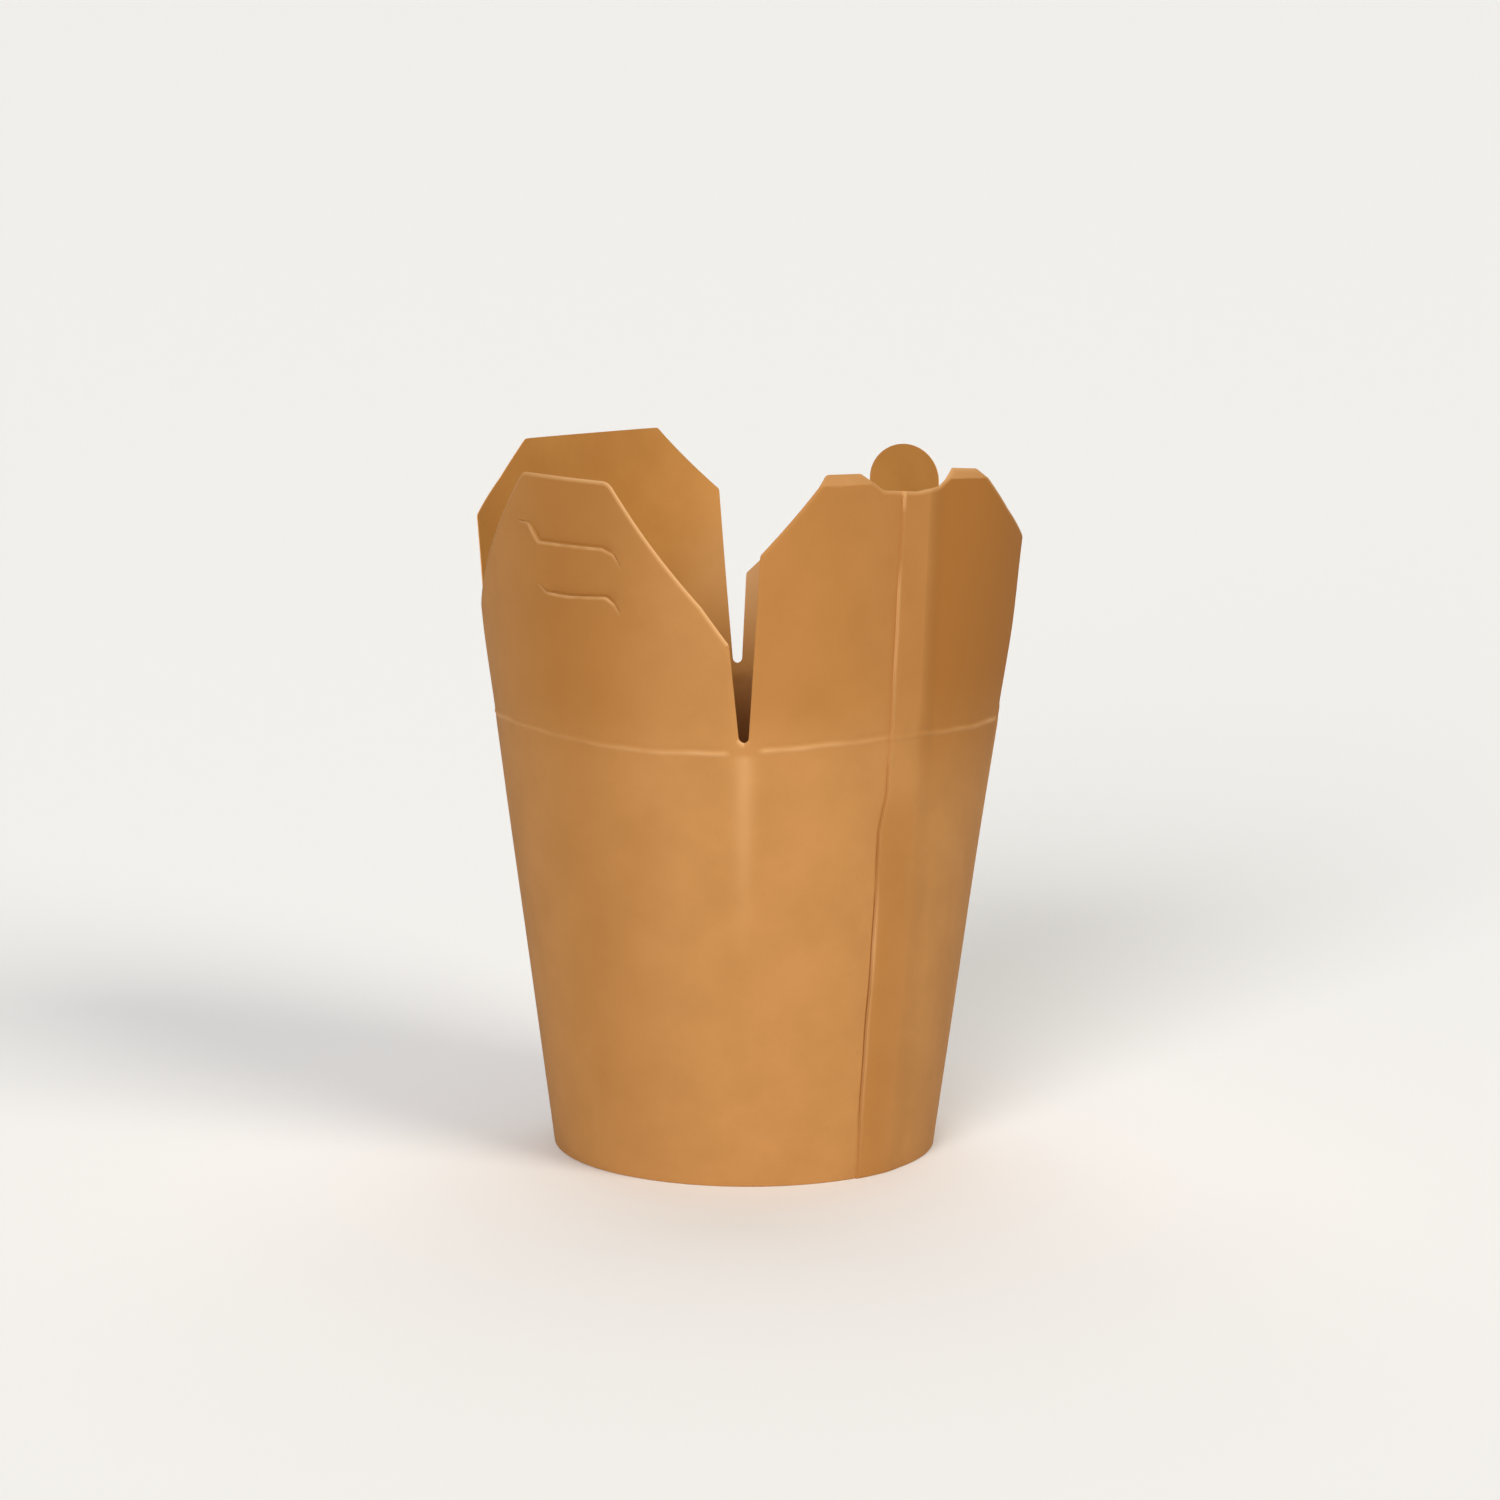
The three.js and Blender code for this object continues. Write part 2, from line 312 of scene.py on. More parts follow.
def wearAndHighlightAt(name, x, s):
    fromCorner = halfWidth(name, s) - np.abs(x)
    patchy = 0.8 + 0.2 * np.sin(x / 1.9 + 2) * np.sin(x / 4.3)
    onBead = np.exp(-0.5 * (aboveCrease(name, x, s) / scores["creaseWidth"]) ** 2)
    nearCorner = bell(fromCorner, 0, wearAndHighlightLook["creaseReach"])
    share = wearAndHighlightLook["midCrease"] + (1 - wearAndHighlightLook["midCrease"]) * nearCorner
    crease = wearAndHighlightLook["crease"] * onBead * inPanel(fromCorner) * share * patchy
    onCorner = bell(fromCorner, 0, wearAndHighlightLook["cornerWidth"]) * downCorner(s, wearAndHighlightLook["cornerStart"])
    bare = np.maximum(crease, wearAndHighlightLook["corner"] * onCorner)
    if name == "right":
        fromSeam, fade = x - seam["offset"], wearAndHighlightLook["lapFade"]
        onLap = rising(fromSeam, -fade, fade) * (1 - rising(fromSeam, seam["lapWidth"], fade))
        edge = bell(fromSeam, 0, wearAndHighlightLook["seamWidth"]) * (fromSeam >= 0)
        bare = np.maximum(bare * (1 - wearAndHighlightLook["lapSpared"] * onLap), edge * alongSeam("bare", s))
        bare = np.maximum(bare, tips["bare"] * onTip(x, s))
    return bare


# Painted light: a pale pool on the inner face where the two flaps at the back meet.
insideLightPool = {"amounts": {"left": 0.4, "back": 0.75}, "reach": 14, "level": 24, "length": 14}


def paintedLightInside(name, x, s):
    if name not in insideLightPool["amounts"]:
        return 0 * x
    fromCorner = halfWidth(name, s) + (x if name == "left" else -x)
    nearCorner = bell(fromCorner, 0, insideLightPool["reach"])
    return insideLightPool["amounts"][name] * nearCorner * bell(s, insideLightPool["level"], insideLightPool["length"])


# Painted shade, from 0 to 1, where the board is darkened to stand in for shade: the amount, where
# it starts or is deepest, and over what length it changes. Places run up or down the slope from
# the crease, or across from the panel's middle or from the end of the seam's lap.
deepTones = {
    "underCrease": (0.35, -1, 3),  # inside, painted shade down in the cup
    "downCup": (0.5, -1, 15),
    "leftTop": (0.12, 38, 14),  # inside, the top of the left flap
    "frontFlap": (0.72, 2, 26),  # outside, the middle of the front flap
    "frontWall": (0.34, 4, 16),  # and of the wall below it
    "frontWallRise": (1, -125, 60),
    "frontCrease": (1, -8, 20),  # where the wall's tone passes into the flap's
    "lapEnd": (0.1, -0.7, 1.5),  # outside, on the right flap where the doubled board ends
    "pastLap": (0.9, -5, 11),
    "pastLapRise": (1, -25, 40),
    "rightFlap": (0.45, -4, 16),  # and all over that flap
    "besideSeam": (0.5, -6.5, 9),  # on the wall below it
    "besideSeamDrop": (1, 4, 16),
}


def toneRise(key, at):
    amount, start, length = deepTones[key]
    return amount * rising(at, start, length)


def tonePatch(key, at):
    amount, middle, width = deepTones[key]
    return amount * bell(at, middle, width)


# Painted shade at each point: inside down the cup and at the top of the left flap, outside on the
# front and right panels, and a painted shadow in the gap along the seam's cut edge.
def paintedShadeAt(name, x, s, face):
    if face == "inner":
        nearTop = toneRise("leftTop", s) * (name == "left")
        return toneRise("underCrease", -s) + toneRise("downCup", -s) + nearTop + 0 * x
    if name == "front" and face == "outer":
        onWall = tonePatch("frontWall", x) * toneRise("frontWallRise", s)
        return onWall + (tonePatch("frontFlap", x) - onWall) * toneRise("frontCrease", s)
    if name != "right" or face != "outer":
        return np.zeros(np.broadcast(x, s).shape)
    fromSeam, fromLap = x - seam["offset"], x - lapEnd
    onFlap = toneRise("lapEnd", fromLap) + toneRise("pastLap", fromLap)
    onFlap = np.maximum(onFlap * toneRise("pastLapRise", s), toneRise("rightFlap", s))
    onWall = tonePatch("besideSeam", fromLap) * toneRise("besideSeamDrop", -s) * (fromSeam > 0)
    # a painted shadow in the gap at the foot of the seam's cut edge
    onWall = np.maximum(onWall, inGap(fromSeam) * alongSeam("open", s))
    return np.maximum(onFlap * (1 - onTip(x, s)), onWall)


# The crease's bead, the corner ridges, the flare of the free sides and the board's unevenness.
def relief(name, x, s):
    fromCorner = halfWidth(name, s) - np.abs(x)
    fromLine = aboveCrease(name, x, s) / scores["creaseWidth"]
    bead = scores["creaseHeight"] * np.exp(-0.5 * fromLine**2)
    groove = scores["creaseGroove"] * np.exp(-0.5 * (fromLine - scores["grooveLevel"]) ** 2)
    ridge = scores["cornerHeight"] * np.exp(-0.5 * (fromCorner / scores["cornerWidth"]) ** 2)
    out, level, length, reach = scores["flare"]
    flare = out * bell(s, level, length) * bell(fromCorner, 0, reach)
    start, end = panels[name]["corners"]
    turn = np.radians((start + end) / 2) + x / coneRadius(heightAt(s))
    waves = sum(
        height * np.sin(count * turn + s / length + shift)
        for height, count, length, shift in scores["waves"]
    )
    uneven = waves * rising(s, *scores["waveRise"])
    ridge *= downCorner(s, scores["cornerStart"])
    return inPanel(fromCorner) * (bead - groove) + ridge + uneven + flare


# Points of a panel's board in metres. x runs along the round wall from the panel's middle, s
# is the slope length above the crease and depth is the distance in from the outside.
def boardPoints(name, x, s, depth, face):
    x, s, depth = np.broadcast_arrays(*(np.asarray(v, float) for v in (x, s, depth)))
    z = heightAt(s)
    start, end = panels[name]["corners"]
    azimuth = (start + end) / 2 + np.degrees(x / coneRadius(z))
    radius = coneRadius(z) - pressedAt(azimuth, z) + relief(name, x, s) - depth
    if name == "right":
        radius = radius + seamLift(x, s, face)
        azimuth = (start + end) / 2 + np.degrees(strayed(x, s) / coneRadius(z))
    turn = np.radians(azimuth)
    return np.stack([radius * np.sin(turn), -radius * np.cos(turn), z], -1) * mm


# Where a point lies on the flat blank, in metres: the cone unrolls about its apex, from the
# seam round to the seam.
def blankPoints(name, x, s):
    start, end = panels[name]["corners"]
    radius = coneRadius(heightAt(s))
    azimuth = np.radians((start + end) / 2) + x / radius
    seamAt = math.radians(90) + seam["offset"] / cone["creaseRadius"]
    turned = (azimuth - seamAt) % (2 * math.pi)
    if name == "right":  # past the seam it starts at 0 again, also where rounding leaves 360
        turned = np.where(x < seam["offset"], turned, turned % 6.2)
    swing = (turned - math.pi) * taper / slope
    reach = radius * slope / taper
    return np.stack([reach * np.sin(swing), reach * np.cos(swing)], -1) * mm


# The wall's columns over one panel at the join level, closer together at the corner scores
# and at the seam's cut edges. Both ends are corners.
def columnsOver(name):
    half, near = halfWidth(name, cone["joinLevel"]), cone["cornerColumns"]
    even = half - cone["cornerSpan"]
    inner = np.linspace(-even, even, round(2 * even / cone["columnStep"]))
    columns = [-half + d for d in near] + list(inner) + [half - d for d in near]
    if name == "right":
        for edge in (seam["offset"], lapEnd):
            columns = [x for x in columns if abs(x - edge) > seam["columnsClear"]]
            columns += [edge + d for d in seam["columns"]]
    return np.array(sorted(columns))


# Where those columns run at another level: they fan in towards the base, but the seam's own
# stay straight.
def fanned(name, columns, s):
    first, last = 0, 0
    if name == "right":
        first, last = seam["offset"] - seam["straightFrom"], lapEnd + seam["lapFade"]
    here, atJoin = halfWidth(name, s), halfWidth(name, cone["joinLevel"])
    left = first + (columns - first) * (here + first) / (atJoin + first)
    right = last + (columns - last) * (here - last) / (atJoin - last)
    return np.where(columns < first, left, np.where(columns > last, right, columns))


# Makes a closed mesh. uvs and the looks hold a value for each point: its place on the blank, and
# for example how much painted shade or painted highlight it has there.
def newPiece(name, points, faces, uvs, slots, **looks):
    mesh = bpy.data.meshes.new(name)
    mesh.from_pydata([tuple(p) for p in points], [], faces)
    for material in slots["materials"]:
        mesh.materials.append(material)
    mesh.polygons.foreach_set("material_index", slots["index"])
    layer = mesh.uv_layers.new(name="blank")
    loops = np.zeros(len(mesh.loops), np.int32)
    mesh.loops.foreach_get("vertex_index", loops)
    layer.data.foreach_set("uv", np.asarray(uvs, np.float32)[loops].ravel())
    for look in ("bareFibre", "deepTone"):
        values = looks.get(look, np.zeros(len(points)))
        attribute = mesh.attributes.new(look, "FLOAT", "POINT")
        attribute.data.foreach_set("value", np.asarray(values, np.float32))
    mesh.polygons.foreach_set("use_smooth", np.ones(len(faces), bool))
    mesh.set_sharp_from_angle(angle=math.radians(32))
    mesh.validate()
    piece = bpy.data.objects.new(name, mesh)
    bpy.context.scene.collection.objects.link(piece)
    return piece


def linearColour(hexCode):
    channels = [int(hexCode[i : i + 2], 16) / 255 for i in (1, 3, 5)]
    return [c / 12.92 if c <= 0.04045 else ((c + 0.055) / 1.055) ** 2.4 for c in channels] + [1]


def addNode(tree, kind, values=None, links=None, **settings):
    node = tree.nodes.new("ShaderNode" + kind)
    for key, value in settings.items():
        setattr(node, key, value)
    for socket, value in (values or {}).items():
        node.inputs[socket].default_value = value
    for socket, source in (links or {}).items():
        tree.links.new(source, node.inputs[socket])
    return node


# Kraft board: unbleached pulp, calendered on the paper machine. The eye sees a warm, almost
# even brown that is a little cloudy, with faint fibres along the machine direction.
kraftBoard = {
    "colour": "#af7b43",
    "cloudColour": "#a8753e",
    "fleckColour": "#935f30",
    # painted shade: the colour the board is darkened towards where shade is painted in
    "paintedShadeColour": "#996224",
    # pale wear and painted highlight: the colour the board is lightened towards
    "paleWearAndHighlightColour": "#cc9c68",
    "roughness": 0.8,
    "ior": 1.45,  # of cellulose and starch
    "specular": 0.35,  # calendering closes the surface only in part
    "cloudSize": 14,
    "cloudRange": (0.35, 0.65),  # the noise over which one colour passes into the other
    "fibreLength": 3.2,
    "fibreWidth": 0.5,  # real fibres are 0.03 mm, drawn coarser so that they show
    "fibreDepth": 0.02,
    "fleckRange": (0.62, 0.8),  # only the densest fibres are flecks
    "fleckStrength": 0.35,
}
# The food side: the same pulp under a thin greaseproof film, so it shines a little more.
coatedBoard = {
    **kraftBoard,
    "colour": "#c08743",
    "cloudColour": "#ba803d",
    # painted shade inside: the colour the food side is darkened towards
    "paintedShadeColour": "#804a18",
    "roughness": 0.5,
}
# The cut through the board: broken fibres, a little paler and quite dull.
cutBoard = {**kraftBoard, "colour": "#c8935a", "cloudColour": "#bf8a50", "roughness": 0.9}


def boardMaterial(name, look):
    material = bpy.data.materials.new(name)
    material.use_nodes = True
    tree = material.node_tree
    tree.nodes.clear()
    place = addNode(tree, "UVMap", uv_map="blank").outputs["UV"]
    cloud = addNode(
        tree, "TexNoise",
        {"Scale": 1 / (look["cloudSize"] * mm), "Detail": 4, "Roughness": 0.6},
        {"Vector": place},
    )
    stretch = (1 / (look["fibreWidth"] * mm), 1 / (look["fibreLength"] * mm), 1)
    along = addNode(tree, "Mapping", {"Scale": stretch}, {"Vector": place})
    fibre = addNode(
        tree, "TexNoise", {"Scale": 1, "Detail": 3, "Roughness": 0.7},
        {"Vector": along.outputs["Vector"]},
    )
    least, most = look["cloudRange"]
    clouds = addNode(
        tree, "MapRange", {"From Min": least, "From Max": most}, {"Value": cloud.outputs["Fac"]}
    )
    least, most = look["fleckRange"]
    flecks = addNode(
        tree, "MapRange",
        {"From Min": least, "From Max": most, "To Max": look["fleckStrength"]},
        {"Value": fibre.outputs["Fac"]},
    )
    # painted shade and painted highlight, read at each point
    deep = addNode(tree, "Attribute", attribute_name="deepTone")
    bare = addNode(tree, "Attribute", attribute_name="bareFibre")
    coloured = addNode(
        tree, "Mix", {"A": linearColour(look["colour"]), "B": linearColour(look["cloudColour"])},
        {"Factor": clouds.outputs["Result"]}, data_type="RGBA",
    )
    # flecks, then painted shade, then pale wear and painted highlight
    for colour, share in (
        ("fleckColour", flecks.outputs["Result"]),
        ("paintedShadeColour", deep.outputs["Fac"]),
        ("paleWearAndHighlightColour", bare.outputs["Fac"]),
    ):
        coloured = addNode(
            tree, "Mix", {"B": linearColour(look[colour])},
            {"Factor": share, "A": coloured.outputs["Result"]}, data_type="RGBA",
        )
    bump = addNode(
        tree, "Bump", {"Strength": 0.5, "Distance": look["fibreDepth"] * mm},
        {"Height": fibre.outputs["Fac"]},
    )
    finish = {"Roughness": look["roughness"], "IOR": look["ior"]}
    shader = addNode(
        tree, "BsdfPrincipled", {**finish, "Specular IOR Level": look["specular"]},
        {"Base Color": coloured.outputs["Result"], "Normal": bump.outputs["Normal"]},
    )
    addNode(tree, "OutputMaterial", links={"Surface": shader.outputs["BSDF"]})
    return material


kraft = boardMaterial("kraft board calendered", kraftBoard)
coated = boardMaterial("kraft board greaseproof side", coatedBoard)
cut = boardMaterial("kraft board die cut edge", cutBoard)
print("materials made")


# The wall: one closed profile, from the join down the outside, round the rim, up and over the
# hem and back up the inside, carried round all four panels.
wallLook = {"rowStep": 1.5, "rimRadius": 0.3, "hemHeight": 6.4, "hemRows": 5, "ringWidth": 1.95}


# The profile's points, each as depth from the outside, height and the face that it is on.
def wallProfile():
    board, ring, hem = cone["board"], wallLook["ringWidth"], wallLook["hemHeight"]
    r, hemRows = wallLook["rimRadius"], wallLook["hemRows"]
    top = heightAt(cone["joinLevel"])
    rows = round(top / wallLook["rowStep"])
    outside = [(0, z, "outer") for z in np.linspace(top, r, rows)]
    turn = [math.radians(a) for a in (22.5, 45, 67.5, 90)]
    rim = [(r - r * math.cos(a), r - r * math.sin(a), "outer") for a in turn]
    ringEnd = [(ring - r + r * math.sin(a), r - r * math.cos(a), "hem") for a in [0, *turn]]
    hemIn = [(ring, z, "hem") for z in np.linspace(r, hem, hemRows + 1)[1:]]
    hemOut = [(ring - board, z, "hem") for z in np.linspace(hem, board, hemRows)]
    inside = [(board, z, "inner") for z in np.linspace(board, top, rows)]
    return outside + rim + ringEnd + hemIn + hemOut + inside


def makeWall():
    profile = wallProfile()
    rings, uvs, bare, deep = [], [], [], []
    for name in panels:
        columns = columnsOver(name)[:-1]
        block, flat, lightRows, tones = [], [], [], []
        for depth, z, face in profile:
            s = (z - cone["creaseHeight"]) * slope
            x = fanned(name, columns, s)
            block.append(boardPoints(name, x, s, depth, face))
            flat.append(blankPoints(name, x, s))
            lightRows.append(wearAndHighlightAt(name, x, s) * (face == "outer"))
            tones.append(paintedShadeAt(name, x, s, face))
        rings.append(np.stack(block, 1))
        uvs.append(np.stack(flat, 1))
        bare.append(np.stack(lightRows, 1))
        deep.append(np.stack(tones, 1))
    rings, uvs, bare, deep = (np.concatenate(v) for v in (rings, uvs, bare, deep))
    count, rows = rings.shape[:2]
    i, j = np.meshgrid(np.arange(count), np.arange(rows), indexing="ij")
    nextI, nextJ = (i + 1) % count, (j + 1) % rows
    faces = np.stack([i * rows + j, i * rows + nextJ, nextI * rows + nextJ, nextI * rows + j], -1)
    inner = [face == "inner" for _, _, face in profile]
    slot = np.array([1 if inner[k] and inner[(k + 1) % rows] else 0 for k in range(rows)])
    slots = {"materials": [kraft, coated], "index": np.tile(slot, count).astype(np.int32)}
    points, flat = rings.reshape(-1, 3), uvs.reshape(-1, 2)
    faces = faces.reshape(-1, 4).tolist()
    looks = {"bareFibre": bare.ravel(), "deepTone": deep.ravel()}
    return newPiece("cup_wall", points, faces, flat, slots, **looks)


wall = makeWall()
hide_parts("wall")
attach(wall, "cup")
print("wall made")

# The base: a disc whose edge turns down into a skirt between the wall and its hem.
baseLook = {
    "top": 7.6,  # level of the disc
    "foot": 0.5,  # level at which the skirt ends
    "bend": 1.2,  # radius of the turned edge
    "fit": 0.02,  # between the skirt and the wall
    "dish": 0.35,  # the disc sags this much in its middle
    "skirtLevels": (2, 4),  # between its foot and the bend
    "rings": 24,
    "segments": 180,
    "tone": 0.6,  # painted shade on the disc's top, down in the cup
    "toneFrom": 5,  # above this level
}


def makeBase():
    board, bend, rings = cone["board"], baseLook["bend"], baseLook["rings"]
    top, foot = baseLook["top"], baseLook["foot"]

    def inside(z):
        return coneRadius(z) - board - baseLook["fit"]

    outer = inside(top)

    def dish(r):
        return -baseLook["dish"] * (1 - smooth(r / (outer - bend)))

    turn = np.radians(np.linspace(0, 90, 7))[1:]
    under = [(r, top - board + dish(r)) for r in np.linspace(0, outer - board - bend, rings)]
    under += [
        (outer - board - bend * (1 - math.sin(a)), top - board - bend * (1 - math.cos(a)))
        for a in turn
    ]
    skirt = [(inside(foot) - board, foot), (inside(foot), foot)]
    over = [(inside(z), z) for z in (*baseLook["skirtLevels"], top - bend)]
    over += [(outer - bend * (1 - math.cos(a)), top - bend * (1 - math.sin(a))) for a in turn]
    over += [(r, top + dish(r)) for r in np.linspace(outer - bend, 0, rings)[1:]]
    profile = np.array(under + skirt + over)
    ring, count = profile[1:-1], len(profile) - 2
    angles = np.linspace(0, 2 * np.pi, baseLook["segments"], endpoint=False)
    points = [(0, 0, profile[0][1])]
    for angle in angles:
        points += [(r * math.sin(angle), -r * math.cos(angle), z) for r, z in ring]
    points.append((0, 0, profile[-1][1]))
    last = len(points) - 1
    faces, index = [], []
    for i in range(len(angles)):
        here, there = 1 + i * count, 1 + (i + 1) % len(angles) * count
        faces.append((0, there, here))
        index.append(0)
        for j in range(count - 1):
            faces.append((here + j, there + j, there + j + 1, here + j + 1))
            index.append(0 if j < len(under) + 1 else 1)
        faces.append((here + count - 1, there + count - 1, last))
        index.append(1)
    points = np.array(points) * mm
    slots = {"materials": [kraft, coated], "index": np.array(index, np.int32)}
    # painted shade on the disc's top face, above the given level
    onTop = baseLook["tone"] * smooth(points[:, 2] / mm - baseLook["toneFrom"])
    return newPiece("cup_base", points, faces, points[:, :2], slots, deepTone=onTop)


base = makeBase()
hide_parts("base")
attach(base, "cup")
print("base made")


def arc(centre, radius, start, end, count):
    turns = np.radians(np.linspace(start, end, count))
    x, s = centre
    return [(x + radius * math.cos(a), s + radius * math.sin(a)) for a in turns]


# A path through corners, each rounded by its own radius. Its ends stay where they are.
def roundedPath(corners):
    path = [corners[0][:2]]
    for before, corner, after in zip(corners, corners[1:], corners[2:]):
        p, radius = np.array(corner[:2]), corner[2]
        toBefore, toAfter = np.array(before[:2]) - p, np.array(after[:2]) - p
        toBefore, toAfter = toBefore / np.hypot(*toBefore), toAfter / np.hypot(*toAfter)
        half = math.acos(np.clip(toBefore @ toAfter, -1, 1)) / 2
        if radius == 0 or half > 1.56:  # it stays sharp, or it is hardly a corner
            path.append(tuple(p))
            continue
        inwards = toBefore + toAfter
        centre = p + inwards / np.hypot(*inwards) * radius / math.sin(half)
        ends = [p + side * radius / math.tan(half) for side in (toBefore, toAfter)]
        turns = [math.atan2(*(end - centre)[::-1]) for end in ends]
        sweep = (turns[1] - turns[0] + math.pi) % (2 * math.pi) - math.pi
        for share in np.linspace(0, 1, 7):
            turn = turns[0] + sweep * share
            path.append(tuple(centre + radius * np.array([math.cos(turn), math.sin(turn)])))
    path.append(corners[-1][:2])
    return path


# The same path with points added so that none of its steps is longer than the given one.
def resampled(path, step):
    path = [np.array(p, float) for p in path]
    points = [path[0]]
    for start, end in zip(path, path[1:]):
        length = np.hypot(*(end - start))
        if length < 1e-6:
            continue
        parts = max(1, math.ceil(length / step))
        points += [start + (end - start) * k / parts for k in range(1, parts + 1)]
    return np.array(points)


# How far along a path each of its points is, as a share of its length.
def sharesAlong(path):
    travelled = np.concatenate([[0], np.cumsum(np.hypot(*np.diff(path, axis=0).T))])
    return travelled / travelled[-1]


# Unit vectors that point to the left of a path's run.
def leftOf(path):
    run = np.gradient(path, axis=0)
    run /= np.hypot(*run.T)[:, None]
    return np.stack([-run[:, 1], run[:, 0]], 1)


# Distance from points to a path, on which side of it they lie (+1 is left of its run) and how
# far along it.
def distanceTo(points, path):
    start, along = path[:-1], np.diff(path, axis=0)
    offset = points[:, None] - start[None]
    share = np.clip((offset * along).sum(2) / (along**2).sum(1), 0, 1)
    away = offset - share[..., None] * along
    distance = np.hypot(away[..., 0], away[..., 1])
    nearest, row = distance.argmin(1), np.arange(len(points))
    run, gap = along[nearest], offset[row, nearest]
    side = np.sign(run[:, 0] * gap[:, 1] - run[:, 1] * gap[:, 0])
    at = np.interp(nearest + share[row, nearest], np.arange(len(path)), sharesAlong(path))
    return distance[row, nearest], side, at


def insideLoop(points, loop):
    x, y = points.T
    inside = np.zeros(len(points), bool)
    for (x0, y0), (x1, y1) in zip(loop, np.roll(loop, -1, 0)):
        if y0 == y1:
            continue
        crosses = ((y0 > y) != (y1 > y)) & (x < x0 + (y - y0) * (x1 - x0) / (y1 - y0))
        inside ^= crosses
    return inside


flapLook = {
    "gridStep": 0.9,  # spacing of a flap's points
    "gridReach": 50,  # the grid covers this much to each side
    "gridTop": 61,  # and up to this level
    "creaseStep": 0.3,  # spacing of the rows across the crease
    "creaseTop": 3.2,  # which end here
    "clear": 0.35,  # share of gridStep that the grid keeps from the outline
    "edgeStep": 0.8,  # spacing along the cut edge
    "edgeRows": (0.12, 0.3, 1.0),  # rows of points at these distances from the cut
    "crush": 0.28,  # the die rounds the outer face off by this much
    "crushWidth": 1.0,  # within this distance of the cut
    # The cut edge gets painted highlight where it faces up, and passes from the left amount to
    # the right one: each as where that starts, and over what it grows.
    "facesUp": (0.25, 0.3),
    "bareAcross": (-45, 55),
    "blendBelow": -4.0,  # a flap starts to turn here, along the slope
    "blendAbove": 8.0,  # and turns fully from here
}

# The front flap's slits for the tongue: each is a line whose left end turns up or down and
# whose right end turns down. The board below a slit stands out past the board above it.
slitLines = {
    "upper": [
        (-17.2, 46.5, 0), (-12.4, 46.5, 2), (-8.4, 42.7, 1), (13, 42.9, 3), (16.6, 41.9, 2),
        (18.8, 38.6, 0),
    ],
    "lower": [
        (-8.8, 33.5, 0), (-5.6, 31.8, 3), (2, 31.6, 30), (14, 32.4, 2), (16.4, 31, 2),
        (18.2, 28.4, 0),
    ],
}
slitLook = {
    "width": 0.22,
    "pointed": 12,  # it narrows to nothing over a twelfth of its length at each end
    "step": 0.45,  # spacing of the points along it
    "rows": (-0.9, -0.55, -0.25, 0.3, 0.7),  # rows of points beside it, + is above
    "clear": 0.5,  # other points keep this far from it
    "lip": 0.42,  # the board below a slit stands out by this much
    "lipEnds": 5,  # less over a fifth of its length at each end
    "reach": 2.4,  # and less away from it
    "rim": 0.3,  # it is rounded over at the cut
    "rimWidth": 0.9,
    # painted highlight on the lit lower rim of the slit
    "rimHighlight": 0.75,
    "shade": 1.0,  # a painted shadow on the board just above it
    "shadeWidth": 0.75,
}


# The flap's cut edge from its right side to its left, above the corner scores.
def cutPath(name):
    bottom = scores["slitBottom"]
    leftRadius, rightRadius = panels[name]["slits"]
    left = (leftRadius - halfWidth(name, bottom + leftRadius), bottom + leftRadius)
    right = (halfWidth(name, bottom + rightRadius) - rightRadius, bottom + rightRadius)
    corners = list(panels[name]["outline"])
    if name == "back":
        reach, shoulder, fillet = tongue["width"] / 2, corners[1][1], tongue["fillet"]
        oval = []
        for turn in np.linspace(-math.pi / 2, math.pi / 2, 41):
            away = reach * math.sin(turn)
            rise = tongue["rise"] * math.cos(turn) + tongue["lean"] * away
            oval.append((tongue["centre"] + away, tongue["level"] + rise, 0))
        corners[2:2] = [
            (tongue["centre"] - reach, shoulder, fillet), *oval,
            (tongue["centre"] + reach, shoulder, fillet),
        ]
    path = roundedPath([(*right, 0), *reversed(corners), (*left, 0)])
    path = resampled(path, flapLook["edgeStep"])
    rightEnd = arc((right[0] + rightRadius, right[1]), rightRadius, 270, 180, 8)[:-1]
    leftEnd = arc((left[0] - leftRadius, left[1]), leftRadius, 0, -90, 8)[1:]
    rightEnd[0] = (halfWidth(name, bottom), bottom)
    leftEnd[-1] = (-halfWidth(name, bottom), bottom)
    return np.array([*rightEnd, *path, *leftEnd])


# A slit's line, and a closed loop round it that narrows to nothing at its ends.
def slitLoop(line):
    path = resampled(roundedPath(line), slitLook["step"])
    share = np.linspace(0, 1, len(path))
    narrowed = np.minimum(1, np.minimum(share, 1 - share) * slitLook["pointed"])
    aside = leftOf(path) * (slitLook["width"] / 2 * narrowed)[:, None]
    upper, lower = path + aside, path - aside
    return path, np.array([*upper, *lower[-2:0:-1]])


